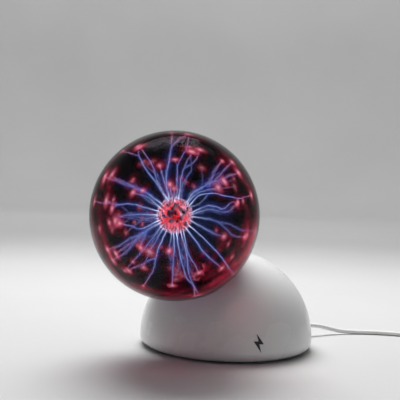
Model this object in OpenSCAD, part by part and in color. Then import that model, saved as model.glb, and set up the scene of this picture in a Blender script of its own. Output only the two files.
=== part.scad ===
// Plasma ball for a desk: a sealed glass globe leans forward in the seat of a low domed base, which
// holds the high-voltage driver, a three-position slide switch and a captive USB lead.
// Z is up from the table. The globe leans towards -Y, and the switch and the lead are at the back, +Y.

/* [Globe] */
// Outer diameter of the glass globe
globe_d = 120; // [116:1:124]
// Wall of the globe and of its neck
glass_wall = 1.2; // [1:0.1:1.6]
// Outer diameter of the neck under the globe
neck_d = 28; // [27:0.5:28]
// Outer diameter of the electrode bulb at the globe's centre
bulb_d = 25; // [20:1:30]
// Outer diameter of the glass stem that carries the electrode bulb
stem_d = 8; // [7:0.5:9]

/* [Base] */
// Diameter of the dome where it is widest
dome_d = 132; // [130:1:136]
// Wall of the dome
dome_wall = 2.6; // [2.2:0.1:2.8]
// Radius of the rounded lower edge, and the height of the dome's centre above that edge
edge_r = 7; // [7:0.5:8]
// Angle by which the globe leans forward from upright
lean = 35; // [33:1:37]
// Depth to which the globe's round sinks into the dome's round
sink = 12; // [11:0.5:13]
// Height of the dome's lower edge above the table
foot_gap = 1; // [0.8:0.1:1.4]

/* [Switch] */
// Angle of the switch round the dome, from straight back towards -X
switch_angle = 20; // [18:1:24]
// Height of the switch above the table
switch_z = 18; // [17:0.5:19]
// Travel of the slider from its middle position to each end
switch_travel = 2; // [1.5:0.1:2]

/* [Lead] */
// Diameter of the USB lead
cable_d = 3.5; // [3:0.1:3.6]
// Angle of the lead's exit round the dome, from straight back towards +X
cable_angle = 18; // [17:0.5:19]
// Height of the lead's exit above the table
cable_z = 9; // [9:0.5:10]

/* [Mark] */
// Angle of the printed mark round the dome, from straight ahead towards +X
mark_angle = 57.5; // [40:0.5:70]
// Height of the mark's middle above the table
mark_z = 15.25; // [14:0.25:20]
// Height of the printed mark
mark_h = 13; // [8:0.5:16]

/* [Hidden] */

$fn = 96;
gap = 0.1;                               // clearance between pieces that are fixed to each other
over = 1;                                // how far a cut runs past the face that it opens
globe_r = globe_d / 2;
dome_r = dome_d / 2;
dome_z = foot_gap + edge_r;              // height of the dome's centre
globe_s = dome_r + globe_r - sink;       // from the dome's centre to the globe's, along the lean
base_y = (globe_s * sin(lean) + globe_r - dome_r) / 2;   // puts the whole object's middle at y = 0

// Stations along the lean, from the dome's centre
neck_end = 35;                           // open lower end of the glass neck
stem_end = neck_end - 6;                 // lower end of the stem
seal_h = 1.6;                            // glass that closes the neck round the stem
bulb_wall = 1;
stem_wall = 1;
wool_d = bulb_d - 2 * bulb_wall - 0.4;
collar_low = 40;
collar_high = 50;
flange_low = 42;
flange_h = 2;
cap_h = 10;
exhaust_at = 8.5;                        // from the neck's axis
exhaust_d = 4;

// Seat in the dome
seat_gap = 1;                            // between the globe and its seat, filled by the gasket
seat_wall = 2.4;
seat_r = 32;
gasket_in = 19;
gasket_out = 25;
neck_hole_r = neck_d / 2 + 1.5;
collar_r = 18;
flange_r = 26;
post_r = 3.4;                            // posts on the seat that take the collar's screws
collar_screw_ring = 22;
collar_screw_r = 1.45;
collar_head_h = 1.8;

// Bottom of the base
plate_r = 56;
plate_h = 2.6;
plate_top = foot_gap + plate_h;
foot_spots = [[-28, -40], [28, -40], [-34, 34], [34, 34]];
foot_r = 6;
foot_recess = 0.8;
boss_ring = 50;
boss_top = 18;
boss_r = 4;
boss_web = [2, 13, 9];                   // rib from each boss to the dome's wall
standoff_r = 3;
vent = [2, 20, 6];                       // pitch of the vents is three times their width
base_screw_r = 1.4;
head_r = 2.7;

// Driver board
board = [60, 50, 1.6];
board_y = 10;                            // middle of the board, from the dome's axis
board_z = 7;
board_top = board_z + board[2];
board_spots = [for (x = [-26, 26], y = [-11, 31]) [x, y]];
core = [30, 8, 24];                      // ferrite frame
core_leg = 7;
core_spot = [-8, 22];
winding_r = 7.3;
sink_box = [22, 12, 17];
sink_spot = [17, 0];
board_screw = [1.05, 2.2, 1.4];          // radius of the shank, radius and height of the head
filter_capacitor = [4, 12];              // radius and height
film_capacitor = [10, 4, 8];
resistor = [1.1, 5];                     // radius and length
chip = [6.4, 9.5, 3.3];
transistor = [10, 4.4, 8];
tab = [10, 1.3, 13];
pins_h = 3;                              // height at which the transistor stands over the board
tab_hole_z = 13.5;
hv_r = 1.3;
wire_r = 0.7;

// Switch, in its own frame: x along the travel, y outwards from the dome's axis
pad_in = 60.4;                           // inner face of the flat pad in the dome
pocket_in = 62;                          // floor of the pocket for the finger
pad_w = 28;
pad_h = 16;
pocket_w = 17;
pocket_r = 4.5;
knob = [3.6, 8.6, 2.6];
knob_tip = 65.2;
carriage = [7, 1.6, 5];
slot = [knob[0] + 2 * switch_travel + 0.8, 4, knob[2] + 0.8];
body_box = [18, 5, 9];
body_out = pad_in - gap;
ear_w = 26;
ear_h = 1.2;
ear_screw_x = 11;
cavity_in = 56.6;
switch_screw = [0.85, 1.8, 1.2];         // radius of the shank, radius and height of the head

// Microphone, behind three small holes in the middle of the back
mic = [4.5, 4.8];                        // radius and length
mic_z = 24;
mic_face = 58.8;                         // from the dome's axis
mic_boss_r = 5.6;
mic_hole_r = 0.6;

// Strain relief, along the exit
relief_out = 82;                         // outer end, from the dome's axis
relief_in = 60.8;
relief_face = dome_r + 0.1;
relief_r = 3.3;
relief_flange = [4.6, 1.6];              // radius and thickness of the flanges inside and outside the wall
relief_bore = cable_d / 2 + gap;
relief_sleeve = [3.6, 2.5];              // radius at the base and at the outer end
relief_core = 2.3;                       // radius left between its grooves

// Lead. Its route is from the dome's axis: first straight out of the base, then down to the table.
tube_sides = 8;
cable_start = 57;
lie = cable_d / 2 + 0.05;                // height of the lead's middle where it lies on the table
function out_of_base(t) = [t * sin(cable_angle), t * cos(cable_angle), cable_z];
cable_route = [
    out_of_base(cable_start), out_of_base(65), out_of_base(74), out_of_base(relief_out),
    [28, 84, 8.7], [31, 91, 7.6], [35, 99, 5.4], [40, 107, 3.2], [46, 115, 2.1], [53, 122, lie],
    [61, 129, lie], [70, 135, lie], [80, 140, lie], [90, 145, lie], [99, 151, lie],
    [108, 157, lie], [117, 163, lie], [126, 171, lie], [134, 179, 2.2], [144, 186, 2.7]
];
tail_route = [
    [172, 146, 13.3], [165, 141, 12.5], [158, 136.2, 10.2], [151.5, 131.8, 7.2],
    [146, 128, 4.9], [141, 124.5, 4.2]
];
coil_spot = [158, 166];
coil_in = 15.85;
coil_out = 26.15;
coil_low = 0.9;
coil_high = 15.05;
coil_round = 1.7;
tie = [6, 0.8];                          // width and thickness of the strap
tie_angle = -60;
plug_spot = [141, 124.5, 4.2];
plug_angle = 215;
grip = [18, 14, 8];
shell = [12, 12, 4.5];
shell_wall = 0.4;
tongue = [10, 10.8, 1.6];

function unit(v) = v / norm(v);
function heading(p, i) = unit(p[min(i + 1, len(p) - 1)] - p[max(i - 1, 0)]);
function ring(middle, way, r, side) =
    let (a = unit(cross(way, side)), b = cross(a, way), step = 360 / tube_sides)
    [for (k = [0:tube_sides - 1]) middle + r * (cos(k * step) * a + sin(k * step) * b)];

// A tube along the points p; side is a direction that the route never takes
module tube(p, r, side = [0, 0, 1]) {
    n = tube_sides;
    last = (len(p) - 1) * n;
    skin = [for (i = [0:len(p) - 2], k = [0:n - 1])
            let (a = i * n + k, b = i * n + (k + 1) % n) each [[a, b, b + n], [a, b + n, a + n]]];
    ends = [[for (k = [n - 1:-1:0]) k], [for (k = [0:n - 1]) last + k]];
    polyhedron([for (i = [0:len(p) - 1]) each ring(p[i], heading(p, i), r, side)],
               concat(skin, ends), convexity = 6);
}

module on_base() { translate([0, base_y, 0]) children(); }
module on_lean(s = 0) {
    translate([0, base_y, dome_z]) rotate([lean, 0, 0]) translate([0, 0, s]) children();
}
module at_back(angle, z) { translate([0, base_y, z]) rotate([0, 0, angle]) children(); }
module around(count, r) {
    for (k = [0:count - 1]) rotate([0, 0, k * 360 / count]) translate([0, -r, 0]) children();
}
module block(size) { translate([-size[0] / 2, -size[1] / 2, 0]) cube(size); }
module outwards() { rotate([-90, 0, 0]) children(); }

// ---- Globe ----
module glass_globe() {
    color("lightcyan", 0.3) difference() {
        union() {
            on_lean(globe_s) sphere(r = globe_r);
            on_lean(neck_end) cylinder(d = neck_d, h = globe_s - neck_end);
        }
        on_lean(globe_s) sphere(r = globe_r - glass_wall);
        on_lean(neck_end - over) cylinder(d = neck_d - 2 * glass_wall, h = globe_s - neck_end + over);
    }
}

// The bulb, its stem and the flare that is fused into the neck are one piece of glass
module electrode_bulb() {
    flare_r = neck_d / 2 - glass_wall - gap;
    color("lightpink", 0.5) difference() {
        union() {
            on_lean(globe_s) sphere(d = bulb_d);
            on_lean(stem_end) cylinder(d = stem_d, h = globe_s - stem_end);
            on_lean(neck_end) cylinder(r = flare_r, h = seal_h);
            on_lean(neck_end + seal_h) cylinder(r1 = flare_r - 2, r2 = stem_d / 2, h = 5);
        }
        on_lean(globe_s) sphere(d = bulb_d - 2 * bulb_wall);
        on_lean(stem_end - over) cylinder(d = stem_d - 2 * stem_wall, h = globe_s - stem_end + over);
    }
}

module electrode_wool() { color("dimgray") on_lean(globe_s) sphere(d = wool_d); }

module electrode_wire() {
    start = stem_end - 3;
    color("silver") on_lean(start) cylinder(d = 1, h = globe_s - wool_d / 2 - gap - start);
}

// Sealed end of the glass tube through which the globe was pumped and filled
module exhaust_tip() {
    color("lightcyan", 0.5) on_lean() translate([exhaust_at, 0, 0]) {
        translate([0, 0, neck_end - 5]) cylinder(d = exhaust_d, h = 5 - gap);
        translate([0, 0, neck_end - 5]) sphere(d = exhaust_d);
    }
}

module terminal_cap() {
    color("black") on_lean(stem_end - cap_h / 2) difference() {
        cylinder(d = stem_d + 4, h = cap_h);
        translate([0, 0, cap_h / 2]) cylinder(d = stem_d + 2 * gap, h = cap_h);
        translate([0, 0, 1.5]) cylinder(d = stem_d - 2, h = cap_h);
        translate([0, 0, -over]) cylinder(r = hv_r + gap, h = cap_h);
    }
}

module seat_gasket() {
    color("whitesmoke") on_lean(globe_s) difference() {
        intersection() {
            sphere(r = globe_r + seat_gap - gap);
            translate([0, 0, -globe_r - 6]) cylinder(r = gasket_out, h = 20);
        }
        sphere(r = globe_r + gap);
        translate([0, 0, -globe_r - 6]) cylinder(r = gasket_in, h = 20);
    }
}

module neck_collar() {
    color("ivory") difference() {
        union() {
            on_lean(collar_low) cylinder(r = collar_r, h = collar_high - collar_low);
            on_lean(flange_low) cylinder(r = flange_r, h = flange_h);
        }
        on_lean(collar_low - over) cylinder(r = neck_d / 2 + gap, h = collar_high);
        on_lean(flange_low - over) around(3, collar_screw_ring) cylinder(r = 1.7, h = 6);
    }
}

module collar_screws() {
    color("silver") on_lean() around(3, collar_screw_ring) {
        translate([0, 0, flange_low - collar_head_h - gap]) cylinder(r = head_r, h = collar_head_h);
        translate([0, 0, flange_low - gap - 0.5]) cylinder(r = collar_screw_r, h = 9);
    }
}

// ---- Base ----
module half_ball(r) {
    translate([0, 0, dome_z]) intersection() {
        sphere(r = r);
        translate([-r, -r, 0]) cube([2 * r, 2 * r, r]);
    }
}

module dome_solid() {
    half_ball(dome_r);
    translate([0, 0, foot_gap]) cylinder(r = dome_r - edge_r, h = edge_r);
    rotate_extrude() translate([dome_r - edge_r, dome_z]) intersection() {
        circle(r = edge_r);
        translate([0, -edge_r]) square(edge_r);
    }
}

module dome_cavity() {
    half_ball(dome_r - dome_wall);
    translate([0, 0, plate_top + 1]) cylinder(r = dome_r - dome_wall - 3, h = edge_r);
    translate([0, 0, foot_gap - over]) cylinder(r = plate_r, h = edge_r);
}

module seat_cup() {
    on_lean(globe_s) intersection() {
        sphere(r = globe_r + seat_gap + seat_wall);
        translate([0, 0, -globe_r - 6]) cylinder(r = seat_r, h = 16);
    }
    on_lean(flange_low + flange_h + gap) around(3, collar_screw_ring) cylinder(r = post_r, h = 12);
}

module screw_bosses() {
    around(4, boss_ring) {
        translate([0, 0, plate_top + gap]) cylinder(r = boss_r, h = boss_top - plate_top);
        translate([0, -7.5, plate_top + 4]) block(boss_web);
    }
}

module dome_cuts() {
    on_lean(globe_s) sphere(r = globe_r + seat_gap);
    on_lean(flange_low) cylinder(r = neck_hole_r, h = 16);
    on_lean(flange_low) around(3, collar_screw_ring) cylinder(r = collar_screw_r + 0.05, h = 11);
    on_base() around(4, boss_ring) cylinder(r = base_screw_r + 0.05, h = boss_top - 2);
    at_back(switch_angle, switch_z) {
        translate([0, pocket_in, 0]) outwards() {
            for (x = [-1, 1]) translate([x * (pocket_w / 2 - pocket_r), 0, 0])
                cylinder(r = pocket_r, h = 6);
            translate([-pocket_w / 2 + pocket_r, -pocket_r, 0])
                cube([pocket_w - 2 * pocket_r, 2 * pocket_r, 6]);
        }
        translate([-slot[0] / 2, pad_in - over, -slot[2] / 2]) cube(slot);
        for (x = [-1, 1]) translate([x * ear_screw_x, pad_in - over, 0])
            outwards() cylinder(r = switch_screw[0] + gap, h = 4);
    }
    at_back(-cable_angle, cable_z) {
        translate([0, relief_in, 0]) outwards() cylinder(r = relief_r + gap, h = 12);
        translate([0, pad_in - 2, 0]) outwards()
            cylinder(r = relief_flange[0] + 0.3, h = relief_in + relief_flange[1] + gap - pad_in + 2);
    }
    at_back(0, mic_z) translate([0, mic_face - mic[1], 0]) outwards() {
        cylinder(r = mic[0] + gap, h = mic[1] + gap);
        for (x = [-2, 0, 2]) translate([x, 0, 0]) cylinder(r = mic_hole_r, h = 14);
    }
}

module dome_shell() {
    color("white") difference() {
        union() {
            on_base() difference() { dome_solid(); dome_cavity(); }
            intersection() {
                on_base() dome_solid();
                union() {
                    seat_cup();
                    on_base() screw_bosses();
                    at_back(switch_angle, switch_z)
                        translate([-pad_w / 2, pad_in, -pad_h / 2]) cube([pad_w, 6, pad_h]);
                    at_back(0, mic_z) translate([0, mic_face - 3, 0])
                        outwards() cylinder(r = mic_boss_r, h = 8);
                }
            }
        }
        dome_cuts();
    }
}

module bottom_plate() {
    color("dimgray") on_base() difference() {
        union() {
            translate([0, 0, foot_gap]) cylinder(r = plate_r - 0.2, h = plate_h - gap);
            for (p = board_spots) translate([p[0], p[1], foot_gap])
                cylinder(r = standoff_r, h = board_z - foot_gap - gap);
        }
        for (p = foot_spots) translate([p[0], p[1], foot_gap - over])
            cylinder(r = foot_r + gap, h = over + foot_recess);
        around(4, boss_ring) {
            cylinder(r = base_screw_r + 0.2, h = 6);
            cylinder(r = head_r + 0.2, h = foot_gap + 1.4);
        }
        for (p = board_spots) translate([p[0], p[1], plate_top - 0.6])
            cylinder(r = board_screw[0] + gap, h = board_z);
        for (k = [-3:3]) translate([k * 3 * vent[0] - 1, 8, 0]) cube(vent);
    }
}

module base_screws() {
    color("silver") on_base() around(4, boss_ring) {
        translate([0, 0, foot_gap + 0.2]) cylinder(r = head_r, h = 1.1);
        translate([0, 0, foot_gap + 0.7]) cylinder(r = base_screw_r, h = 12);
    }
}

module rubber_feet() {
    color("black") on_base() for (p = foot_spots) translate([p[0], p[1], 0])
        cylinder(r = foot_r, h = foot_gap + foot_recess - gap);
}

// A plain lightning bolt, printed on the dome
module front_mark() {
    w = mark_h / 2;
    rise = asin((mark_z - dome_z) / dome_r);
    color("black") intersection() {
        on_base() translate([0, 0, dome_z]) difference() {
            sphere(r = dome_r + 0.25);
            sphere(r = dome_r + 0.03);
        }
        at_back(180 + mark_angle, dome_z) rotate([rise, 0, 0]) outwards()
            translate([0, 0, dome_r - 3]) linear_extrude(6)
                polygon([[0.25 * w, -w], [-0.55 * w, 0.1 * w], [-0.02 * w, 0.1 * w],
                         [-0.25 * w, w], [0.6 * w, -0.22 * w], [0.06 * w, -0.22 * w]]);
    }
}

// ---- Driver ----
module driver_board() {
    color("darkgreen") on_base() difference() {
        translate([0, board_y, board_z]) block(board);
        for (p = board_spots) translate([p[0], p[1], board_z - over]) cylinder(r = 1.3, h = 4);
    }
}

module board_screws() {
    color("silver") on_base() for (p = board_spots) translate([p[0], p[1], 0]) {
        translate([0, 0, board_top + gap]) cylinder(r = board_screw[1], h = board_screw[2]);
        translate([0, 0, plate_top]) cylinder(r = board_screw[0], h = board_top - plate_top + 0.5);
    }
}

module transformer_core() {
    color("darkslategray") on_base() translate([core_spot[0], core_spot[1], board_top + gap])
        difference() {
            block(core);
            translate([0, 0, core_leg])
                block([core[0] - 2 * core_leg, core[1] + 2, core[2] - 2 * core_leg]);
        }
}

module winding(x, r) {
    on_base() translate([core_spot[0] + x, core_spot[1], board_top + core_leg + 0.4]) difference() {
        cylinder(r = r, h = core[2] - 2 * core_leg - 0.6);
        translate([0, 0, -over]) block([core_leg + 0.2, core[1] + 0.2, core[2]]);
    }
}

module primary_winding() { color("peru") winding(-(core[0] - core_leg) / 2, winding_r - 0.8); }
module secondary_winding() { color("black") winding((core[0] - core_leg) / 2, winding_r); }

module heat_sink() {
    fin = 1.4;
    color("silver") on_base() translate([sink_spot[0], sink_spot[1], board_top + gap]) difference() {
        block(sink_box);
        for (k = [-3:3]) translate([k * 3, -2.5, -over])
            block([3 - fin, sink_box[1] - 2.5, sink_box[2] + 2 * over]);
    }
}

module power_transistor() {
    back = sink_spot[1] + sink_box[1] / 2 + gap;
    color("black") on_base() translate([sink_spot[0], back, board_top]) {
        difference() {
            translate([-tab[0] / 2, 0, pins_h]) cube(tab);
            translate([0, -over, tab_hole_z]) outwards() cylinder(r = 1.7, h = 4);
        }
        translate([-transistor[0] / 2, 0, pins_h]) cube(transistor);
        for (x = [-2.5, 0, 2.5]) translate([x - 0.4, 2, gap]) cube([0.8, 0.6, pins_h]);
    }
}

module transistor_screw() {
    back = sink_spot[1] + sink_box[1] / 2 + gap;
    color("silver") on_base() translate([sink_spot[0], back + tab[1] + gap, board_top + tab_hole_z])
        outwards() cylinder(r = 2.4, h = 1.6);
}

module filter_capacitors() {
    color("midnightblue") on_base() for (x = [-20, -10]) translate([x, -7, board_top + gap])
        cylinder(r = filter_capacitor[0], h = filter_capacitor[1]);
}

module film_capacitors() {
    color("firebrick") on_base() for (y = [14, 21]) translate([18, y, board_top + gap])
        block(film_capacitor);
}

module resistors() {
    color("tan") on_base() for (x = [-23, -18, -13, -8]) translate([x, 5, board_top + 1.4])
        outwards() cylinder(r = resistor[0], h = resistor[1]);
}

module control_chip() {
    color("black") on_base() translate([1, -8, board_top + 0.6]) block(chip);
}

module hv_lead() {
    start = stem_end - cap_h / 2 + 0.5;
    x = core_spot[0] + (core[0] - core_leg) / 2;
    front = core_spot[1] - winding_r - gap;
    color("red") on_base() tube([
        [0, -start * sin(lean), dome_z + start * cos(lean)], [0, -9, 22], [1, -2, 19.5],
        [2, 5, 19], [x, 10, 19.5], [x, front, 20]
    ], hv_r, [1, 0, 0]);
}

module supply_wires() {
    a = [cable_start * sin(cable_angle), cable_start * cos(cable_angle), cable_z];
    color("red") on_base() for (k = [-1, 1])
        tube([a + [k, -1, 0], a + [k, -6, 1], [17 + k, 41, 12], [20 + 1.5 * k, 32, 11.4],
              [21 + 2 * k, 29, 10.4], [21 + 2 * k, 29, board_top + gap]], wire_r, [1, 0, 0]);
}

module switch_wires() {
    inside = pad_in - body_box[1] - 0.7;
    at = [-inside * sin(switch_angle), inside * cos(switch_angle), switch_z];
    color("yellow") on_base() for (k = [-1:1])
        tube([at + [3 * k, k, 0], at + [3 * k, k - 3, -1], [-19 + 2.5 * k, 42, 13],
              [-17 + 2.5 * k, 34, 12], [-16 + 2.5 * k, 31, 10.6],
              [-16 + 2.5 * k, 31, board_top + gap]], wire_r, [1, 0, 0]);
}

// ---- Switch ----
module switch_body() {
    color("dimgray") at_back(switch_angle, switch_z) difference() {
        union() {
            translate([-body_box[0] / 2, body_out - body_box[1], -body_box[2] / 2]) cube(body_box);
            translate([-ear_w / 2, body_out - ear_h, -3]) cube([ear_w, ear_h, 6]);
        }
        translate([-6, cavity_in, -carriage[2] / 2 - 0.4]) cube([12, 2.4, carriage[2] + 0.8]);
        translate([-slot[0] / 2, cavity_in + 1, -slot[2] / 2]) cube(slot);
        for (x = [-1, 1]) translate([x * ear_screw_x, body_out - 3, 0])
            outwards() cylinder(r = 1.1, h = 6);
    }
}

// The carriage slides in the switch's body, and the ribbed stem reaches the finger pocket
module switch_knob() {
    color("black") at_back(switch_angle, switch_z) difference() {
        union() {
            translate([-carriage[0] / 2, cavity_in + 0.4, -carriage[2] / 2]) cube(carriage);
            translate([-knob[0] / 2, knob_tip - knob[1] + 1, -knob[2] / 2])
                cube([knob[0], knob[1] - 1, knob[2]]);
        }
        for (x = [-0.9, 0.9]) translate([x - 0.2, knob_tip - 0.4, -knob[2]])
            cube([0.4, 1, 2 * knob[2]]);
    }
}

module switch_screws() {
    color("silver") at_back(switch_angle, switch_z) for (x = [-1, 1])
        translate([x * ear_screw_x, 0, 0]) {
            translate([0, body_out - ear_h - gap - switch_screw[2], 0]) outwards()
                cylinder(r = switch_screw[1], h = switch_screw[2]);
            translate([0, body_out - 1.5, 0]) outwards() cylinder(r = switch_screw[0], h = 4);
        }
}

module microphone() {
    color("silver") at_back(0, mic_z) translate([0, mic_face - mic[1], 0])
        outwards() cylinder(r = mic[0], h = mic[1]);
}

// ---- Lead ----
module strain_relief() {
    groove = 1.2;
    sleeve = relief_out - relief_face - relief_flange[1];
    color("whitesmoke") at_back(-cable_angle, cable_z) difference() {
        union() {
            translate([0, relief_in, 0]) outwards() cylinder(r = relief_flange[0], h = relief_flange[1]);
            translate([0, relief_in, 0]) outwards() cylinder(r = relief_r, h = relief_face - relief_in + 1);
            translate([0, relief_face, 0]) outwards() cylinder(r = relief_flange[0], h = relief_flange[1]);
            translate([0, relief_face + relief_flange[1], 0]) outwards()
                cylinder(r1 = relief_sleeve[0], r2 = relief_sleeve[1], h = sleeve);
        }
        translate([0, relief_in - over, 0]) outwards() cylinder(r = relief_bore, h = 30);
        for (k = [0:3]) translate([0, relief_face + 3.2 + k * 2.8, 0]) outwards() difference() {
            cylinder(r = 5, h = groove);
            translate([0, 0, -over]) cylinder(r = relief_core, h = groove + 2 * over);
        }
    }
}

module power_cable() {
    color("white") on_base() {
        tube(cable_route, cable_d / 2);
        tube(tail_route, cable_d / 2);
    }
}

module cable_coil() {
    w = coil_out - coil_in;
    h = coil_high - coil_low;
    color("white") on_base() translate([coil_spot[0], coil_spot[1], coil_low]) rotate_extrude()
        translate([coil_in, 0]) {
            translate([0, coil_round]) square([w, h - 2 * coil_round]);
            translate([coil_round, 0]) square([w - 2 * coil_round, h]);
            for (x = [coil_round, w - coil_round], z = [coil_round, h - coil_round])
                translate([x, z]) circle(r = coil_round);
        }
}

module cable_tie() {
    inner = [tie[0] + 2, coil_out - coil_in + 0.7, coil_high - coil_low + 2 * gap];
    color("black") on_base() translate([coil_spot[0], coil_spot[1], coil_low]) rotate([0, 0, tie_angle])
        translate([0, (coil_in + coil_out) / 2, 0]) difference() {
            translate([0, 0, -tie[1]]) block([tie[0], inner[1] + 2 * tie[1], inner[2] + 2 * tie[1] - gap]);
            translate([0, 0, -gap]) block(inner);
        }
}

module at_plug() { on_base() translate(plug_spot) rotate([0, 0, plug_angle]) children(); }

module usb_plug_grip() {
    r = 1.6;
    color("white") at_plug() hull()
        for (x = [r + gap, grip[0] - r], y = [-1, 1], z = [-1, 1])
            translate([x, y * (grip[1] / 2 - r), z * (grip[2] / 2 - r)]) sphere(r = r, $fn = 16);
}

module usb_plug_shell() {
    color("silver") at_plug() translate([grip[0] + gap, 0, 0]) difference() {
        translate([0, -shell[1] / 2, -shell[2] / 2]) cube(shell);
        translate([1, shell_wall - shell[1] / 2, shell_wall - shell[2] / 2])
            cube([shell[0], shell[1] - 2 * shell_wall, shell[2] - 2 * shell_wall]);
        for (y = [-3, 3]) translate([6, y - 1.1, 0]) cube([2.4, 2.2, shell[2]]);
    }
}

module usb_plug_tongue() {
    color("white") at_plug() translate([grip[0] + 1 + 2 * gap, -tongue[1] / 2, -1.7]) cube(tongue);
}

glass_globe();
electrode_bulb();
electrode_wool();
electrode_wire();
exhaust_tip();
terminal_cap();
seat_gasket();
neck_collar();
collar_screws();
dome_shell();
bottom_plate();
base_screws();
rubber_feet();
front_mark();
driver_board();
board_screws();
transformer_core();
primary_winding();
secondary_winding();
heat_sink();
power_transistor();
transistor_screw();
filter_capacitors();
film_capacitors();
resistors();
control_chip();
hv_lead();
supply_wires();
switch_wires();
switch_body();
switch_knob();
switch_screws();
microphone();
strain_relief();
power_cable();
cable_coil();
cable_tie();
usb_plug_grip();
usb_plug_shell();
usb_plug_tongue();
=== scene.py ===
"""Looks of the plasma ball.

A glass globe full of discharge, darkened by a tint of painted shade, leans in a white domed base, which has a
switch and a USB lead.
"""

import math
import random

import bmesh
import bpy
from mathutils import Matrix, Quaternion, Vector


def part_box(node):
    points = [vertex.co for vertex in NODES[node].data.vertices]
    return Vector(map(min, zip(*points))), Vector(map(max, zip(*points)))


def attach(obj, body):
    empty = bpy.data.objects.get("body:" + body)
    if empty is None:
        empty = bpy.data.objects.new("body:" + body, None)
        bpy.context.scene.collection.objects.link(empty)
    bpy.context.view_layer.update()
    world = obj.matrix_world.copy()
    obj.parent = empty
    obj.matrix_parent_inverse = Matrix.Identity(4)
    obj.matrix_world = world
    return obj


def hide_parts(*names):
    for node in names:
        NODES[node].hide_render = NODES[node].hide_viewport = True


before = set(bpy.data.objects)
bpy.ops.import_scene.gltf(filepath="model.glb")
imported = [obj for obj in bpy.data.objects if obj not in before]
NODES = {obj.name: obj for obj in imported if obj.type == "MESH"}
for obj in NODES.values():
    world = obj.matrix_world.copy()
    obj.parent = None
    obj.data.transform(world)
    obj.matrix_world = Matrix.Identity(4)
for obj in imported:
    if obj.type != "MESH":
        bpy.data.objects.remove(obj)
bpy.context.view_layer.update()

MM = 0.001
random.seed(7)


# ---- Places and sizes ----
# Places and outer sizes come from the frame. Walls, stem and neck repeat the part's own sizes.
def centre_and_radius(node):
    """The middle of a round node's box, and half its width."""
    low, high = (Vector(corner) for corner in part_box(node))
    return (low + high) / 2, (high.x - low.x) / 2


GLOBE, WOOL_R = centre_and_radius("electrode_wool")
GLOBE_R = centre_and_radius("glass_globe")[1]
DOME_R = centre_and_radius("dome_shell")[1]
DOME = Vector((0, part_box("dome_shell")[1][1] - DOME_R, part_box("dome_shell")[1][2] - DOME_R))
LEAN = (GLOBE - DOME).normalized()
GLOBE_S = (GLOBE - DOME).length           # the globe's centre, along the lean
GLASS_WALL = 1.2 * MM
BULB_R = WOOL_R + 1.2 * MM                # past the bulb's wall and a gap of 0.2 mm
BULB_WALL = 1.0 * MM
STEM_R = 4.0 * MM
NECK_R = 14.0 * MM
NECK_END = 35.0 * MM                      # from the dome's centre, along the lean
GAS_R = GLOBE_R - GLASS_WALL
GOLDEN_TURN = math.pi * (3 - math.sqrt(5))

# ---- Strengths of the glass and of everything that glows ----
# The globe's dark tint is painted shade: it stands in for a dark room seen through clear glass, and the glow
# strengths below make up for it.
GLASS_SHADE = 0.1                         # light that one wall of the globe lets through
CORE_LIGHT, HALO_LIGHT, SHEET_LIGHT, SPOT_LIGHT, HAZE_LIGHT = 11.5, 5.5, 4.5, 10, 6
WOOL_LIGHT, ROOT_AND_RIM_LIGHT = 7, 19


# ---- Camera ----
CAMERA_TURN = math.radians(40.6)          # round the object, from straight ahead of the lean
CAMERA_RISE = math.radians(2.8)
CAMERA_ROLL = math.radians(2)
CAMERA_FAR = 9.0 * GLOBE_R
CAMERA_LENS = 68.8
AIM_RIGHT = math.radians(1.89)            # the camera looks a little past the globe
AIM_UP = math.radians(1.17)

BACK = Vector((math.sin(CAMERA_TURN) * math.cos(CAMERA_RISE),
               -math.cos(CAMERA_TURN) * math.cos(CAMERA_RISE), math.sin(CAMERA_RISE)))
LEVEL = Vector((math.cos(CAMERA_TURN), math.sin(CAMERA_TURN), 0))
RIGHT = Quaternion(BACK, CAMERA_ROLL) @ LEVEL
UP = BACK.cross(RIGHT)


def make_camera():
    camera = bpy.data.objects.new("camera", bpy.data.cameras.new("camera"))
    bpy.context.collection.objects.link(camera)
    camera.data.lens = CAMERA_LENS
    camera.data.clip_start = 0.02
    camera.location = GLOBE + BACK * CAMERA_FAR
    view = Matrix((RIGHT, UP, BACK)).transposed()
    aim = Quaternion((0, 1, 0), -AIM_RIGHT) @ Quaternion((1, 0, 0), AIM_UP)
    camera.rotation_mode = "QUATERNION"
    camera.rotation_quaternion = view.to_quaternion() @ aim
    bpy.context.scene.camera = camera


# ---- Cord ----
CORD_D = 3.5 * MM
EXIT_TURN = math.radians(18)              # where the cord leaves the base, round from the back

# The rest is in millimetres, from the table under the dome's centre
EXIT_Z = 9
EXIT_AT = 82                              # the strain relief's end, out from the dome's centre
INSIDE = (60, 67, 74)                     # the cord's points within the base and the strain relief
ROUTE = [(28, 84, 8.7), (31, 91, 7.6), (35, 99, 5.4), (40, 107, 3.2), (46, 115, 2.1), (53, 122, 1.8),
         (61, 129, 1.8), (70, 135, 1.8), (80, 140, 1.8), (90, 145, 1.8), (99, 151, 1.8),
         (108, 157, 1.8), (117, 163, 1.8), (126, 171, 1.8), (134, 179, 2.2)]
TAIL = [(165, 141, 12.5), (158, 136.2, 10.2), (151.5, 131.8, 7.2), (146, 128, 4.9), (141, 124.5, 4.2)]
COIL = (158, 166)
COIL_TURNS, COIL_LAYERS = 7.5, 4
COIL_FROM = 125                           # the angle at which the cord joins the coil, in degrees
COIL_R = (24.4, 17.6)                     # of the outermost and the innermost turn
COIL_Z, LAYER_H = 2.65, 3.55
CLIMB = 0.08                              # share of a layer in which the cord climbs to the next one


def out_of_base(far):
    return (far * math.sin(EXIT_TURN), far * math.cos(EXIT_TURN), EXIT_Z)


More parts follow.
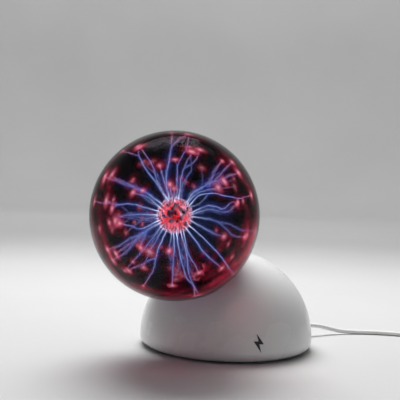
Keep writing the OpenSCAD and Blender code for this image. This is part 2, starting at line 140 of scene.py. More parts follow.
def coil_points(per_turn=24):
    """Turns that wind in and out between two radii, one layer higher each time."""
    count = int(COIL_TURNS * per_turn)
    made = []
    for i in range(count + 1):
        along = i / count * COIL_LAYERS
        layer = min(int(along), COIL_LAYERS - 1)
        share = along - layer
        inwards = share if layer % 2 == 0 else 1 - share
        r = COIL_R[0] + (COIL_R[1] - COIL_R[0]) * inwards
        climb = max(0, min(1, (share - 1 + CLIMB) / CLIMB)) if layer < COIL_LAYERS - 1 else 0
        angle = math.radians(COIL_FROM - 360 * COIL_TURNS * i / count)
        made.append((COIL[0] + r * math.cos(angle), COIL[1] + r * math.sin(angle),
                     COIL_Z + LAYER_H * (layer + climb)))
    return made


def smooth_line(points, steps):
    """A Catmull-Rom line through the points."""
    p = [Vector(q) for q in points]
    p = [2 * p[0] - p[1], *p, 2 * p[-1] - p[-2]]
    line = []
    for a, b, c, d in zip(p, p[1:], p[2:], p[3:]):
        for k in range(steps):
            t = k / steps
            line.append(0.5 * (2 * b + (c - a) * t + (2 * a - 5 * b + 4 * c - d) * t * t
                               + (3 * b - a - 3 * c + d) * t ** 3))
    return [*line, p[-2]]


def make_cord(material):
    start = [out_of_base(far) for far in (*INSIDE, EXIT_AT)]
    line = smooth_line([*start, *ROUTE, *coil_points(), *TAIL], 5)
    curve = bpy.data.curves.new("usb_lead", "CURVE")
    curve.dimensions = "3D"
    curve.bevel_depth = CORD_D / 2
    curve.bevel_resolution = 4
    curve.use_fill_caps = True
    spline = curve.splines.new("POLY")
    spline.points.add(len(line) - 1)
    for point, at in zip(spline.points, line):
        point.co = (at.x * MM, DOME.y + at.y * MM, at.z * MM, 1)
    lead = bpy.data.objects.new("usb_lead", curve)
    bpy.context.collection.objects.link(lead)
    curve.materials.append(material)
    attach(lead, "base")
    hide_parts("power_cable", "cable_coil")


# ---- Materials ----
class Shader:
    """One Principled material, with short calls for the nodes that feed it."""

    def __init__(self, name, **sockets):
        self.material = bpy.data.materials.new(name)
        self.material.use_nodes = True
        self.tree = self.material.node_tree
        self.main = next(n for n in self.tree.nodes if n.type == "BSDF_PRINCIPLED")
        self.where = self.tree.nodes.new("ShaderNodeTexCoord").outputs["Object"]
        for socket, value in sockets.items():
            self.main.inputs[socket.replace("_", " ")].default_value = value

    def node(self, kind, inputs=(), **settings):
        made = self.tree.nodes.new("ShaderNode" + kind)
        for key, value in settings.items():
            setattr(made, key, value)
        for socket, value in dict(inputs).items():
            self.feed(made.inputs[socket], value)
        return made

    def feed(self, socket, value):
        if isinstance(value, bpy.types.NodeSocket):
            self.tree.links.new(value, socket)
        else:
            socket.default_value = value

    def noise(self, scale, detail=4, roughness=0.5):
        return self.node("TexNoise", {"Vector": self.where, "Scale": scale, "Detail": detail,
                                      "Roughness": roughness}).outputs["Fac"]

    def spread(self, value, low, high, to_low=0.0, to_high=1.0):
        return self.node("MapRange", {"Value": value, "From Min": low, "From Max": high,
                                      "To Min": to_low, "To Max": to_high}).outputs["Result"]

    def maths(self, operation, a, b=0.0):
        return self.node("Math", {0: a, 1: b}, operation=operation).outputs[0]

    def ramp(self, value, *stops):
        ramp = self.node("ValToRGB", {"Fac": value})
        elements = ramp.color_ramp.elements
        while len(elements) < len(stops):
            elements.new(0.5)
        for element, (position, colour) in zip(elements, stops):
            element.position = position
            element.color = (*colour, 1)
        return ramp.outputs["Color"]

    def link(self, socket, value):
        self.tree.links.new(value, self.main.inputs[socket])

    def bump(self, height, depth, strength=0.5):
        bump = self.node("Bump", {"Height": height, "Distance": depth, "Strength": strength})
        self.link("Normal", bump.outputs["Normal"])


def plastic(name, colour, roughness, grain=900, depth=0.00004, worn=0.04, **sockets):
    """Moulded plastic: a fine skin, slow changes of gloss and a faint change of shade."""
    shader = Shader(name, **sockets)
    slow = shader.noise(28, detail=3)
    fine = shader.noise(grain, detail=2)
    low = [c * (1 - worn) for c in colour]
    high = [min(1, c * (1 + worn)) for c in colour]
    shader.link("Base Color", shader.ramp(slow, (0.3, low), (0.7, high)))
    shader.link("Roughness", shader.spread(slow, 0.3, 0.7, roughness * 0.9, roughness * 1.12))
    shader.bump(fine, depth, 0.35)
    return shader.material


def metal(name, colour, roughness):
    """Bare metal: a fine grain with slow changes of shade and gloss."""
    shader = Shader(name, Metallic=1.0)
    slow = shader.noise(300, detail=5)
    shader.link("Base Color", shader.ramp(slow, (0.3, [c * 0.82 for c in colour]), (0.7, colour)))
    shader.link("Roughness", shader.spread(slow, 0.3, 0.7, roughness * 0.7, roughness * 1.4))
    shader.bump(shader.noise(1800, detail=3), 0.00003, 0.3)
    return shader.material


# ---- Mesh helpers ----
def add_mesh(name, points, faces, material, uvs=None, closed=False):
    """A smooth mesh in the scene; uvs holds one pair for each point, and a closed mesh is turned outwards."""
    mesh = bpy.data.meshes.new(name)
    mesh.from_pydata([tuple(p) for p in points], [], faces)
    if closed:
        bm = bmesh.new()
        bm.from_mesh(mesh)
        bmesh.ops.recalc_face_normals(bm, faces=bm.faces)
        bm.to_mesh(mesh)
        bm.free()
    if uvs:
        layer = mesh.uv_layers.new(name="across")
        for loop in mesh.loops:
            layer.data[loop.index].uv = uvs[loop.vertex_index]
    mesh.shade_smooth()
    mesh.materials.append(material)
    made = bpy.data.objects.new(name, mesh)
    bpy.context.collection.objects.link(made)
    return made


def lathe(name, profile, material, sides=128):
    """A closed outline of (radius, distance along the lean), turned round the lean; radius 0 is a pole."""
    side = LEAN.orthogonal().normalized()
    other = LEAN.cross(side)
    points, rings = [], []
    for r, s in profile:
        middle = DOME + LEAN * s
        if r == 0:
            rings.append([len(points)] * sides)
            points.append(middle)
            continue
        rings.append(list(range(len(points), len(points) + sides)))
        for k in range(sides):
            turn = 2 * math.pi * k / sides
            points.append(middle + r * (math.cos(turn) * side + math.sin(turn) * other))
    faces = []
    for a, b in zip(rings, rings[1:] + rings[:1]):
        for k in range(sides):
            corners = [a[k], a[(k + 1) % sides], b[(k + 1) % sides], b[k]]
            corners = list(dict.fromkeys(corners))
            if len(corners) > 2:
                faces.append(corners)
    return add_mesh(name, points, faces, material, closed=True)


def arc(r, middle, start, end, steps):
    """Points of (radius, station) round a centre on the axis; angles in degrees from the axis."""
    made = []
    for k in range(steps + 1):
        angle = math.radians(start + (end - start) * k / steps)
        made.append((abs(r * math.sin(angle)) if abs(math.sin(angle)) > 1e-6 else 0,
                     middle + r * math.cos(angle)))
    return made


def neck_angle(ball_r, neck_r):
    """The angle from the top at which a ball meets its neck, in degrees."""
    return 180 - math.degrees(math.asin(neck_r / ball_r))


# ---- Glass ----
# Painted shade: a dark tint that makes the globe black inside, as a dark room behind it would.
def painted_shade_glass():
    return Shader("painted_shade_glass", Base_Color=(GLASS_SHADE, 0.95 * GLASS_SHADE, 1.05 * GLASS_SHADE, 1),
                  Roughness=0.0, IOR=1.13, Transmission_Weight=1.0, Specular_IOR_Level=0.2).material


def make_globe(material):
    outer = arc(GLOBE_R, GLOBE_S, 0, neck_angle(GLOBE_R, NECK_R), 96)
    inner = arc(GAS_R, GLOBE_S, neck_angle(GAS_R, NECK_R - GLASS_WALL), 0, 96)
    neck = [(NECK_R, NECK_END), (NECK_R - GLASS_WALL, NECK_END)]
    globe = lathe("globe_glass", [*outer, *neck, *inner], material)
    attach(globe, "base")
    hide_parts("glass_globe")


# ---- Electrode ----
WOOL_FLAKES = [(340, 0.65), (600, 0.35)]   # two sizes of flake: cells per metre and share
WOOL_WARP = 0.004                         # how far the flakes' edges are bent, in metres
WOOL_DENTS = 0.05                         # depth of the wool's dents, as a share of its radius
# The roots are partly discharge and partly a painted highlight: their glow at the bulb's outline stands in
# for the rim that the bulb's glass reflects.
ROOTS = 1800                              # short roots of the discharge on the electrode bulb
ROOT_LONG = (0.5 * MM, 1.25 * MM)
ROOT_RADII = [0.075 * MM, 0.07 * MM, 0.04 * MM]
ROOT_SUNK = 0.5 * MM                      # a root starts this far inside the bulb's outside
ROOT_UNEVEN = 0.06
ROOT_AND_RIM_PINK = (1.0, 0.58, 0.74)


def lit_wool():
    """Flakes of packed wool, from dark gaps through red to a few pale ones."""
    shader = Shader("lit_wool", Base_Color=(0.02, 0.005, 0.006, 1), Roughness=0.5)
    bent = shader.node("TexNoise", {"Vector": shader.where, "Scale": 320, "Detail": 2}).outputs["Color"]
    shifted = shader.node("VectorMath", {0: bent, "Scale": WOOL_WARP}, operation="SCALE").outputs["Vector"]
    at = shader.node("VectorMath", {0: shader.where, 1: shifted}, operation="ADD").outputs["Vector"]
    parts = []
    for scale, share in WOOL_FLAKES:
        flake = shader.node("TexVoronoi", {"Vector": at, "Scale": scale}).outputs["Color"]
        value = shader.node("SeparateXYZ", {0: flake}).outputs["X"]
        parts.append(shader.maths("MULTIPLY", value, share))
    glow = shader.ramp(shader.maths("ADD", *parts), (0.3, (0.01, 0.0, 0.005)), (0.4, (0.08, 0.001, 0.02)),
                       (0.5, (0.4, 0.004, 0.012)), (0.62, (1.0, 0.012, 0.014)),
                       (0.8, (1.0, 0.05, 0.07)), (0.9, (1.0, 0.55, 0.68)))
    shader.link("Emission Color", glow)
    shader.main.inputs["Emission Strength"].default_value = WOOL_LIGHT
    return shader.material


def make_electrode():
    bm = bmesh.new()
    bmesh.ops.create_icosphere(bm, subdivisions=5, radius=WOOL_R)
    for v in bm.verts:
        v.co *= 1 - WOOL_DENTS * random.random()
        v.co += GLOBE
    mesh = bpy.data.meshes.new("lit_wool_ball")
    bm.to_mesh(mesh)
    bm.free()
    mesh.materials.append(lit_wool())
    wool = bpy.data.objects.new("lit_wool_ball", mesh)
    bpy.context.collection.objects.link(wool)
    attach(wool, "base")
    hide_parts("electrode_wool")


def make_roots_and_rim_highlight():
    """Short bright roots of the discharge all over the electrode bulb. Seen edge-on at the bulb's outline,
    they also make a painted highlight: the bright rim that the bulb's glass reflects.
    """
    roots = Strips()
    for k in range(ROOTS):
        z = 1 - 2 * (k + 0.5) / ROOTS
        r = math.sqrt(1 - z * z)
        way = Vector((r * math.cos(GOLDEN_TURN * k), r * math.sin(GOLDEN_TURN * k), z))
        way = (way + ROOT_UNEVEN * Vector([random.uniform(-1, 1) for _ in range(3)])).normalized()
        long = random.uniform(*ROOT_LONG)
        line = [GLOBE + way * (BULB_R - ROOT_SUNK + long * t) for t in (0, 0.5, 1)]
        roots.tube(line, ROOT_RADII, [1, 0.9, 0.6], 4)
    glow = glow_shader("root_and_rim_highlight_glow", [(0, ROOT_AND_RIM_PINK), (1, ROOT_AND_RIM_PINK)], ROOT_AND_RIM_LIGHT, solid=True)
    roots.build("discharge_roots_and_rim_highlight", glow)


def make_bulb():
    glass = Shader("electrode_glass", Base_Color=(1.0, 0.9, 0.93, 1), Roughness=0.02, IOR=1.45,
                   Transmission_Weight=1.0).material
    stem_end = NECK_END - 6 * MM              # it hangs a little out of the neck
    outer = arc(BULB_R, GLOBE_S, 0, neck_angle(BULB_R, STEM_R), 40)
    inner = arc(BULB_R - BULB_WALL, GLOBE_S, neck_angle(BULB_R - BULB_WALL, STEM_R - BULB_WALL), 0, 40)
    flare_r = NECK_R - GLASS_WALL - 0.1 * MM
    flare = [(STEM_R, NECK_END + 7 * MM), (STEM_R + 0.8 * MM, NECK_END + 5 * MM),
             (flare_r - 2 * MM, NECK_END + 2 * MM), (flare_r, NECK_END + 1.6 * MM), (flare_r, NECK_END),
             (STEM_R, NECK_END), (STEM_R, stem_end), (STEM_R - BULB_WALL, stem_end)]
    bulb = lathe("electrode_glass", [*outer, *flare, *inner], glass, 64)
    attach(bulb, "base")
    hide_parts("electrode_bulb")


# ---- Discharge ----
# A streamer is the width of its glow in millimetres, its brightness, its trunk and its branches. Each point
# is a clock angle round the view in degrees and how far out it is seen, as a share of the globe's radius;
# 0 is on the electrode. A streamer ends on the glass, on the side that faces the camera.
STREAMERS = [
    (2.4, 1.0, [(-20, 0), (-13, 0.45), (-6, 0.65), (-3, 0.8)], [(-2, 0.97)], [(5, 0.92), (9, 0.97)]),
    (1.2, 0.9, [(6, 0), (4, 0.38), (3, 0.56)], [(7, 0.7), (10, 0.83), (10, 0.96)], [(0, 0.66)]),
    (1.8, 0.8, [(12, 0), (10, 0.4), (10, 0.53)], [(19, 0.66), (21, 0.77), (21, 0.83)], [(15, 0.78)]),
    (3.2, 1.0, [(42, 0), (39, 0.34), (45, 0.49)], [(46, 0.58), (42, 0.68), (41, 0.85)],
     [(48, 0.62), (47, 0.92)], [(50, 0.6), (55, 0.71)], [(52, 0.7), (56, 0.9)]),
    (1.6, 0.7, [(46, 0), (46, 0.38), (57, 0.61)]),
    (0.9, 1.0, [(56, 0), (51, 0.37), (60, 0.53), (70, 0.66), (75, 0.78)], [(75, 0.93)]),
    (1.8, 0.9, [(80, 0), (73, 0.39), (77, 0.48), (82, 0.58), (77, 0.67)], [(78, 0.76)]),
    (3.4, 0.6, [(86, 0), (80, 0.4), (86, 0.6), (80, 0.74)]),
    (2.4, 0.6, [(94, 0), (95, 0.36), (98, 0.5)], [(104, 0.62), (109, 0.72), (107, 0.86)],
     [(99, 0.65), (102, 0.79), (101, 0.96)]),
    (2.4, 0.7, [(108, 0), (112, 0.34), (115, 0.48), (113, 0.63)]),
    (0.9, 1.0, [(124, 0), (128, 0.44), (131, 0.66), (133, 0.81), (135, 0.97)]),
    (1.8, 0.9, [(138, 0), (140, 0.39), (142, 0.55), (140, 0.67), (138, 0.83)]),
    (0.8, 0.8, [(150, 0), (160, 0.46), (158, 0.62), (157, 0.73)]),
    (1.2, 0.9, [(160, 0), (162, 0.38), (164, 0.53), (166, 0.69), (165, 0.85), (163, 0.97)]),
    (1.0, 0.9, [(174, 0), (173, 0.39), (171, 0.57), (169, 0.75), (165, 0.85), (166, 0.97)]),
    (1.6, 0.8, [(184, 0), (181, 0.42), (182, 0.57), (182, 0.82)]),
    (1.0, 0.8, [(190, 0), (189, 0.42)]),
    (2.0, 0.9, [(208, 0), (207, 0.41), (204, 0.53)], [(202, 0.64), (202, 0.75), (204, 0.9)],
     [(214, 0.68), (220, 0.84)]),
    (1.2, 0.7, [(222, 0), (215, 0.52)]),
    (1.2, 0.7, [(232, 0), (225, 0.34)], [(222, 0.6), (222, 0.73)], [(222, 0.87)], [(211, 0.71)]),
    (2.8, 0.9, [(244, 0), (243, 0.36)], [(242, 0.58), (242, 0.72), (243, 0.88)],
     [(238, 0.6), (237, 0.82)], [(234, 0.66), (234, 0.89)], [(227, 0.55)]),
    (1.2, 0.9, [(252, 0), (249, 0.42), (256, 0.52), (262, 0.65)]),
    (3.2, 0.8, [(272, 0), (272, 0.45), (269, 0.62), (265, 0.7)]),
    (1.6, 0.9, [(286, 0), (285, 0.39), (285, 0.54), (281, 0.67)], [(276, 0.74)], [(280, 0.95)],
     [(282, 0.82)]),
    (1.4, 0.8, [(300, 0), (304, 0.38), (299, 0.56)]),
    (2.4, 1.0, [(312, 0), (309, 0.42)], [(305, 0.63), (302, 0.78), (303, 0.88)],
     [(301, 0.76), (299, 0.93)], [(308, 0.48)]),
    (1.2, 1.0, [(333, 0), (330, 0.48), (328, 0.69), (329, 0.81)], [(332, 0.92)], [(321, 0.98)]),
    (0.8, 0.8, [(337, 0), (333, 0.47), (336, 0.67), (333, 0.9)]),
    (2.0, 0.8, [(344, 0), (343, 0.4), (343, 0.61)]),
    (0.8, 0.8, [(352, 0), (351, 0.37)]),
    (0.7, 0.6, [(1, 0), (-2, 0.32)]),
]
ROOT_TILT = math.radians(18)              # a streamer leaves the electrode near its outline
FAR_STREAMERS = 22                        # on the side that faces away, spread by a seeded draw
TRUNK_WAVE = 0.22                         # height of the fine waves in a streamer, in millimetres
THREAD_R = 0.13 * MM
LINE_GAP = 0.3 * MM                       # between the end of a streamer and the inside of the glass
PATCH_GAP = 0.15 * MM                     # between a contact glow and the inside of the glass
SPOT_R = (2.8, 5.0)                       # of the glow at a streamer's end, in millimetres
HAZE_R = (4, 9)                           # of a patch of haze along the rim, in millimetres

# Contact glows that end no listed streamer: clock angle, reach, radius in millimetres, side and brightness.
# Side is 1 on the half that faces the camera and -1 on the other half.
CONTACTS = [(15, 0.78, 4.2, 1, 0.8), (300, 0.94, 3.6, 1, 1), (296, 0.92, 4.0, 1, 0.8),
            (260, 0.89, 4.2, 1, 0.7), (264, 0.77, 4.6, 1, 0.9), (56, 0.91, 4.0, 1, 0.9),
            (78, 0.82, 3.6, 1, 0.9), (105, 0.88, 4.8, 1, 0.8), (110, 0.52, 3.4, -1, 0.5),
            (33, 0.41, 3.6, -1, 0.6), (183, 0.62, 5.0, -1, 0.5), (332, 0.9, 3.8, 1, 1),
            (343, 0.62, 3.8, 1, 0.8), (118, 0.72, 4.0, -1, 0.5), (126, 0.84, 5.0, -1, 0.6)]

# Haze along the rim: clock angles from and to, how many patches, their spread in degrees, brightness
RIM = [(100, 158, 44, 24, 0.8), (96, 172, 40, 9, 1.3), (172, 235, 28, 10, 1.0), (235, 318, 26, 10, 0.7),
       (318, 420, 18, 10, 0.45), (60, 96, 12, 10, 0.8)]

# Light that the discharge throws on the dome, from lamps because its own meshes aren't sampled as lights:
# clock angle and power in watts
PINK_LIGHTS = [(136, 0.0034), (192, 0.0026)]
PINK_TILT = math.radians(25)              # towards the camera
PINK_LAMP = (0.02, 0.02)
PINK = (1, 0.22, 0.32)


def tilt_for(reach, side):
    """The angle towards the camera at which a point on the glass is seen at that reach."""
    across = reach * GLOBE_R
    for _ in range(6):
        depth = side * math.sqrt(max(0, GAS_R ** 2 - across ** 2))
        across = min(reach * GLOBE_R * (1 - depth / CAMERA_FAR), GAS_R)
    return side * math.acos(across / GAS_R)


def place(clock, tilt, far):
    """The point that far from the globe's centre, at a clock angle in degrees and a tilt to the camera."""
    a = math.radians(clock)
    return GLOBE + far * (math.cos(tilt) * (math.sin(a) * RIGHT + math.cos(a) * UP) + math.sin(tilt) * BACK)


def seen_at(clock, reach, tilt):
    """The point at that tilt that is seen at that clock angle and reach."""
    across = max(reach, 0.001) * GLOBE_R
    far = across / (math.cos(tilt) + across * math.sin(tilt) / CAMERA_FAR)
    return place(clock, tilt, max(BULB_R, min(far, GAS_R - LINE_GAP)))


def sway(line, amount):
    """Adds a fine uneven wave that dies away at both ends."""
    waves = [(random.uniform(0, 6.3), random.uniform(0, 6.3), k, amount / k ** 0.7)
             for k in (1.5, 3.7, 7.1, 12.3)]
    made = []
    last = len(line) - 1
    for i, p in enumerate(line):
        t = i / last
        way = (line[min(i + 1, last)] - line[max(i - 1, 0)]).normalized()
        side = way.cross(BACK).normalized() if abs(way.dot(BACK)) < 0.97 else way.cross(UP).normalized()
        other = way.cross(side)
        hold = min(1, 5 * t, 5 * (1 - t))
        a = sum(r * math.sin(p1 + 6.3 * k * t) for p1, _, k, r in waves)
        b = sum(r * math.sin(p2 + 6.3 * k * t) for _, p2, k, r in waves)
        made.append(p + hold * MM * (a * side + b * other))
    return made


def frames_along(line):
    """Two directions across the line at each of its points."""
    made = []
    for i in range(len(line)):
        way = (line[min(i + 1, len(line) - 1)] - line[max(i - 1, 0)]).normalized()
        side = way.cross(BACK)
        if side.length < 0.2:
            side = way.cross(UP)
        side.normalize()
        made.append((side, way.cross(side).normalized()))
    return made


class Strips:
    """Collects ribbons, tubes and patches of light into one mesh; v of each is its brightness."""

    def __init__(self):
        self.points, self.faces, self.uvs = [], [], []

    def ribbon(self, line, widths, turn, shades):
        base = len(self.points)
        for p, w, shade, (side, other) in zip(line, widths, shades, frames_along(line)):
            across = side * math.cos(turn) + other * math.sin(turn)
            for k in (-1, 0, 1):
                self.points.append(p + across * w * k)
                self.uvs.append(((k + 1) / 2, shade))
        for i in range(len(line) - 1):
            for k in (0, 1):
                a = base + i * 3 + k
                self.faces.append((a, a + 1, a + 4, a + 3))

    def tube(self, line, radii, shades, sides=5):
        base = len(self.points)
        for p, r, shade, (side, other) in zip(line, radii, shades, frames_along(line)):
            for k in range(sides):
                turn = 2 * math.pi * k / sides
                self.points.append(p + r * (math.cos(turn) * side + math.sin(turn) * other))
                self.uvs.append((0.5, shade))
        last = base + (len(line) - 1) * sides
        for i in range(len(line) - 1):
            for k in range(sides):
                a, b = base + i * sides + k, base + i * sides + (k + 1) % sides
                self.faces.append((a, b, b + sides, a + sides))
        self.faces.append(tuple(range(base + sides - 1, base - 1, -1)))
        self.faces.append(tuple(range(last, last + sides)))

    def patch(self, way, r, stretch=1.0, shade=1.0, rings=4, sides=20):
        """A round patch on the inside of the glass, or one drawn out along the rim; u is 1 at its edge."""
        along = BACK.cross(way)
        along = along.normalized() if along.length > 0.05 else RIGHT
        other = way.cross(along)
        ball = GAS_R - PATCH_GAP
        base = len(self.points)
        self.points.append(GLOBE + way * ball)
        self.uvs.append((0.5, shade))
        for j in range(1, rings + 1):
            for k in range(sides):
                a = 2 * math.pi * k / sides
                x, y = r * j / rings * math.cos(a) * stretch, r * j / rings * math.sin(a)
                self.points.append(GLOBE + (way * ball + along * x + other * y).normalized() * ball)
                self.uvs.append((0.5 + 0.5 * j / rings, shade))
        for k in range(sides):
            self.faces.append((base, base + 1 + k, base + 1 + (k + 1) % sides))
            for j in range(rings - 1):
                a, b = base + 1 + j * sides + k, base + 1 + j * sides + (k + 1) % sides
                self.faces.append((a, a + sides, b + sides, b))

    def build(self, name, material):
        made = add_mesh(name, self.points, self.faces, material, uvs=self.uvs)
        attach(made, "base")
        return made


def glow_shader(name, stops, strength, cover=0.0, power=2.0, streaks=0.0, solid=False, patch=False):
    """Light that fades out across its strip, coloured by the distance from the electrode or, on a patch,
    from the patch's middle."""
    shader = Shader(name, Base_Color=(0, 0, 0, 1), Roughness=1.0, Specular_IOR_Level=0.0)
    far = shader.node("VectorMath", {0: shader.where, 1: tuple(GLOBE)}, operation="DISTANCE").outputs["Value"]
    uv = shader.node("SeparateXYZ", {0: shader.node("TexCoord").outputs["UV"]})
    across = shader.maths("ABSOLUTE", shader.spread(uv.outputs["X"], 0, 1, -1, 1))
    colour = shader.ramp(across if patch else shader.spread(far, BULB_R, GAS_R), *stops)
    shader.main.inputs["Emission Strength"].default_value = strength
    if solid:
        dimmed = shader.node("VectorMath", {0: colour, "Scale": uv.outputs["Y"]}, operation="SCALE")
        shader.link("Emission Color", dimmed.outputs["Vector"])
    else:
        shader.link("Emission Color", colour)
        fade = shader.maths("POWER", shader.maths("SUBTRACT", 1.0, across), power)
        fade = shader.maths("MULTIPLY", fade, uv.outputs["Y"])
        if streaks:
            grain = shader.spread(shader.noise(260, detail=4, roughness=0.6), 0.38, 0.62, 1 - streaks, 1)
            fade = shader.maths("MULTIPLY", fade, grain)
        shader.link("Alpha", shader.maths("MULTIPLY", fade, cover))
    shader.material.cycles.emission_sampling = "NONE"
    return shader.material


def streamer(trunk, branches, side):
    """The lines of one streamer, its trunk first, and the directions in which it meets the glass."""
    tilts = [tilt_for(branch[-1][1], side) for branch in branches] or [tilt_for(trunk[-1][1], side)]
    start = sum(tilts) / len(tilts)
    root = max(-ROOT_TILT, min(ROOT_TILT, start))
    stem = [seen_at(clock, reach, root + (start - root) * reach / trunk[-1][1]) for clock, reach in trunk]
    if not branches:
        return [smooth_line(stem, 10)], [(stem[-1] - GLOBE).normalized()]
    lines = [smooth_line(stem, 10)]
    ends = []
    for branch, tilt in zip(branches, tilts):
        first = trunk[-1][1]
        points = [stem[-1]]
        for clock, reach in branch:
            share = (reach - first) / max(0.01, branch[-1][1] - first)
            points.append(seen_at(clock, reach, start + (tilt - start) * share))
        points[-1] = place(branch[-1][0], tilt, GAS_R - LINE_GAP)
        lines.append(smooth_line([stem[-2], *points], 10)[10:])
        ends.append((points[-1] - GLOBE).normalized())
    return lines, ends


def far_streamer():
    """A streamer in the form of the listed ones, drawn at random."""
    clock, reach = random.uniform(0, 360), random.uniform(0.15, 0.9)
    trunk = [(clock, 0), (clock + random.uniform(-8, 8), reach * 0.5),
             (clock + random.uniform(-6, 6), reach * 0.7)]
    branches = [[(clock + random.uniform(-14, 14), min(0.97, reach * random.uniform(0.95, 1.2)))]
                for _ in range(random.choice((1, 2, 2)))]
    return random.uniform(1.0, 2.6), random.uniform(0.3, 0.55), trunk, *branches


def add_streamer(cores, halos, sheets, line, width, bright, thin):
    """One line of a streamer: its core, a few fine threads, and two crossed ribbons for each kind of glow."""
    line = sway(line, TRUNK_WAVE)
    out = [((p - GLOBE).length - BULB_R) / (GAS_R - BULB_R) for p in line]
    root = [1 + 1.4 * max(0, 1 - 7 * t) for t in out]
    cores.tube(line, [(0.26 - 0.1 * t) * thin * MM for t in out],
               [min(1, bright * thin * r * 0.6) for r in root])
    widths = [width * thin * MM * (0.45 + 0.75 * math.sin(math.pi * min(1, 0.1 + 0.85 * t))) for t in out]
    for _ in range(int(width * thin)):
        thread = sway(line, random.uniform(0.3, 0.45) * width)
        cores.tube(thread, [THREAD_R] * len(line), [0.3 * bright] * len(line), 4)
    for turn in (0, math.pi / 2):
        halos.ribbon(line, [0.5 * MM + 0.6 * w for w in widths], turn, [bright] * len(line))
        sheets.ribbon(line, [1.2 * MM + 1.7 * w for w in widths], turn + 0.3, [bright * thin] * len(line))


def discharge_shaders():
    """The looks of the cores, halos, sheets, contact spots and haze, in that order."""
    core = [(0, (0.75, 0.85, 1.0)), (0.4, (0.42, 0.56, 0.95)), (0.75, (0.42, 0.48, 0.85)),
            (0.93, (0.75, 0.42, 0.65)), (1, (1.0, 0.4, 0.55))]
    halo = [(0, (0.25, 0.42, 1.0)), (0.45, (0.15, 0.24, 0.85)), (0.8, (0.22, 0.16, 0.6)),
            (1, (1.0, 0.12, 0.25))]
    sheet = [(0, (0.1, 0.18, 0.75)), (0.5, (0.09, 0.13, 0.6)), (0.85, (0.13, 0.08, 0.4)),
             (1, (0.4, 0.03, 0.15))]
    spot = [(0, (1, 0.55, 0.65)), (0.4, (1, 0.2, 0.3)), (1, (0.8, 0.05, 0.12))]
    haze = [(0, (1, 0.1, 0.2)), (1, (0.8, 0.02, 0.08))]
    return [glow_shader("streamer_core", core, CORE_LIGHT, solid=True),
            glow_shader("streamer_glow", halo, HALO_LIGHT, 0.5, 1.6),
            glow_shader("streamer_sheet", sheet, SHEET_LIGHT, 0.35, 1.3, streaks=0.75),
            glow_shader("contact_spot", spot, SPOT_LIGHT, 0.9, 1.7, 0.35, patch=True),
            glow_shader("contact_haze", haze, HAZE_LIGHT, 0.5, 1.5, 0.85)]


def make_discharge():
    cores, halos, sheets, spots, haze = groups = [Strips() for _ in range(5)]
    listed = [(1, *each) for each in STREAMERS] + [(-1, *far_streamer()) for _ in range(FAR_STREAMERS)]
    for side, width, bright, trunk, *branches in listed:
        lines, ways = streamer(trunk, branches, side)
        for number, line in enumerate(lines):
            add_streamer(cores, halos, sheets, line, width, bright, 1.0 if number == 0 else 0.75)
        for way in ways:
            size = random.uniform(*SPOT_R) * MM
            spots.patch(way, size, random.uniform(0.8, 1.8), bright)
            haze.patch(way, 1.9 * size, random.uniform(1, 1.6), 0.6 * bright)
    for clock, reach, r, side, bright in CONTACTS:
        way = (place(clock, tilt_for(reach, side), GAS_R) - GLOBE).normalized()
        spots.patch(way, 0.9 * r * MM, 1.2, 0.7 * bright)
        haze.patch(way, 1.6 * r * MM, 1.3, 0.7 * bright)
    for first, last, count, spread, bright in RIM:
        for _ in range(count):
            tilt = math.radians(random.gauss(0, spread))
            way = (place(random.uniform(first, last), tilt, GAS_R) - GLOBE).normalized()
            haze.patch(way, random.uniform(*HAZE_R) * MM, random.uniform(1.2, 2.6),
                       bright * random.uniform(0.4, 1))
    names = ("streamer_cores", "streamer_glow", "streamer_sheets", "contact_spots", "contact_haze")
    for name, group, material in zip(names, groups, discharge_shaders()):
        group.build(name, material)


# ---- Carried-over CAD nodes ----
def set_material(node, material):
    for slot in NODES[node].material_slots:
        slot.material = material


def dress_nodes():
    white = plastic("white_abs", (0.76, 0.76, 0.76), 0.26, grain=700, depth=0.00003, worn=0.01,
                    Coat_Weight=0.25, Coat_Roughness=0.22)
    lead = plastic("white_pvc", (0.82, 0.82, 0.81), 0.42, grain=1200)
    dark = plastic("dark_abs", (0.05, 0.05, 0.055), 0.5, grain=1500, depth=0.00006)
    black = plastic("black_abs", (0.02, 0.02, 0.022), 0.45)
    rubber = plastic("black_rubber", (0.025, 0.025, 0.025), 0.75, grain=1100, depth=0.00008)
    ink = plastic("black_ink", (0.012, 0.012, 0.014), 0.35)
    steel = metal("zinc_steel", (0.62, 0.62, 0.64), 0.3)
    nickel = metal("nickel", (0.75, 0.74, 0.72), 0.16)
    looks = {
        "dome_shell": white, "usb_plug_tongue": white, "neck_collar": white, "bottom_plate": dark,
        "switch_body": dark, "switch_knob": black, "cable_tie": black, "front_mark": ink,
        "rubber_feet": rubber, "terminal_cap": rubber, "seat_gasket": rubber, "strain_relief": lead,
        "usb_plug_grip": lead, "usb_plug_shell": nickel, "electrode_wire": steel,
        "collar_screws": steel, "base_screws": steel, "board_screws": steel, "switch_screws": steel,
        "transistor_screw": steel, "microphone": nickel, "heat_sink": nickel,
        # The exhaust tip takes the same dark tint of painted shade.
        "exhaust_tip": painted_shade_glass(),
        "driver_board": plastic("solder_mask", (0.02, 0.13, 0.05), 0.3),
        "transformer_core": plastic("ferrite", (0.06, 0.06, 0.065), 0.6),
        "primary_winding": metal("copper_wire", (0.7, 0.3, 0.12), 0.35),
        "secondary_winding": black, "power_transistor": black, "control_chip": black,
        "filter_capacitors": plastic("capacitor_sleeve", (0.02, 0.04, 0.16), 0.3),
        "film_capacitors": plastic("red_lacquer", (0.5, 0.04, 0.03), 0.3),
        "resistors": plastic("resistor_lacquer", (0.6, 0.45, 0.28), 0.4),
        "hv_lead": plastic("red_insulation", (0.5, 0.03, 0.03), 0.4),
        "supply_wires": plastic("supply_insulation", (0.45, 0.03, 0.03), 0.4),
        "switch_wires": plastic("yellow_insulation", (0.7, 0.5, 0.05), 0.4),
    }
    for node, material in looks.items():
        set_material(node, material)


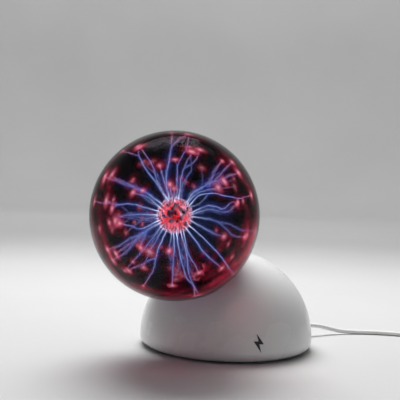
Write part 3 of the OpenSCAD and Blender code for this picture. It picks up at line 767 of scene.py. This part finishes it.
# ---- Studio ----
SWEEP_R, SWEEP_BEND, SWEEP_TOP = 3.0, 0.7, 3.4     # of the floor and its wall, in metres
SWEEP_SIDES, SWEEP_STEPS = 96, 12
OVERHEAD_WATTS, BACKDROP_WATTS, CEILING_WATTS, FILL_WATTS = 5.6, 45, 16, 0.35
OVERHEAD_SPREAD = math.radians(80)
WORLD_LIGHT = 0.05
GLASS_LAYERS = 48                         # see-through surfaces that one ray may pass


def area_light(name, at, aim, size, energy, colour=(1, 1, 1)):
    data = bpy.data.lights.new(name, "AREA")
    data.shape = "RECTANGLE"
    data.size, data.size_y = size
    data.energy = energy
    data.color = colour
    light = bpy.data.objects.new(name, data)
    bpy.context.collection.objects.link(light)
    light.location = at
    light.rotation_mode = "QUATERNION"
    light.rotation_quaternion = (Vector(at) - Vector(aim)).to_track_quat("Z", "Y")
    return light


def studio_sweep():
    """A round floor that bends up into a wall all round."""
    floor = Shader("studio_floor", Roughness=0.75)
    floor.link("Base Color", floor.ramp(floor.noise(3), (0.3, (0.5, 0.5, 0.5)), (0.7, (0.53, 0.53, 0.53))))
    outline = [(SWEEP_R - SWEEP_BEND + SWEEP_BEND * math.sin(math.pi / 2 * k / SWEEP_STEPS),
                SWEEP_BEND - SWEEP_BEND * math.cos(math.pi / 2 * k / SWEEP_STEPS))
               for k in range(SWEEP_STEPS + 1)]
    outline.append((SWEEP_R, SWEEP_TOP))
    turns = [2 * math.pi * k / SWEEP_SIDES for k in range(SWEEP_SIDES)]
    points = [(0, 0, 0)]
    for far, z in outline:
        points += [(far * math.cos(turn), far * math.sin(turn), z) for turn in turns]
    faces = [(0, 1 + k, 1 + (k + 1) % SWEEP_SIDES) for k in range(SWEEP_SIDES)]
    for row in range(len(outline) - 1):
        for k in range(SWEEP_SIDES):
            a, b = (1 + row * SWEEP_SIDES + corner % SWEEP_SIDES for corner in (k, k + 1))
            faces.append((a, a + SWEEP_SIDES, b + SWEEP_SIDES, b))
    add_mesh("studio_sweep", points, faces, floor.material)


def discharge_light(clock, power):
    """A small pink lamp just outside the globe, which neither the camera nor a reflection sees."""
    way = (place(clock, PINK_TILT, GAS_R) - GLOBE).normalized()
    glow = area_light("discharge_light", GLOBE + way * 1.06 * GLOBE_R, GLOBE + way * 2 * GLOBE_R,
                      PINK_LAMP, power, PINK)
    glow.visible_camera = False
    glow.visible_glossy = False


def make_studio():
    """A round sweep, an overhead light behind the object, soft fills and a weak even world."""
    studio_sweep()
    level_back = Vector((BACK.x, BACK.y, 0)).normalized()
    overhead = area_light("overhead", DOME - LEVEL * 0.12 - level_back * 0.62 + Vector((0, 0, 1.25)), DOME,
                          (0.9, 0.7), OVERHEAD_WATTS)
    overhead.data.spread = OVERHEAD_SPREAD
    backdrop = area_light("backdrop", DOME - level_back * 1.2 + Vector((0, 0, 2.2)),
                          DOME - level_back * 2.3, (2.5, 1.2), BACKDROP_WATTS)
    ceiling = area_light("ceiling", DOME + Vector((0, 0, 2.6)), DOME, (3, 3), CEILING_WATTS)
    for lamp in (overhead, backdrop, ceiling):
        lamp.visible_glossy = False
    area_light("fill", DOME - LEVEL * 1.0 + level_back * 1.0 + Vector((0, 0, 0.9)), DOME,
               (1.2, 1.2), FILL_WATTS)
    for clock, power in PINK_LIGHTS:
        discharge_light(clock, power)
    world = bpy.data.worlds.new("studio")
    bpy.context.scene.world = world
    world.use_nodes = True
    sky = world.node_tree.nodes["Background"]
    sky.inputs["Color"].default_value = (1, 0.98, 0.96, 1)
    sky.inputs["Strength"].default_value = WORLD_LIGHT


make_camera()
make_cord(plastic("lead_pvc", (0.82, 0.82, 0.81), 0.42, grain=1200))
make_globe(painted_shade_glass())
make_electrode()
make_bulb()
make_roots_and_rim_highlight()
make_discharge()
dress_nodes()
make_studio()

bpy.context.scene.view_settings.view_transform = "Standard"
bpy.context.scene.cycles.transparent_max_bounces = GLASS_LAYERS
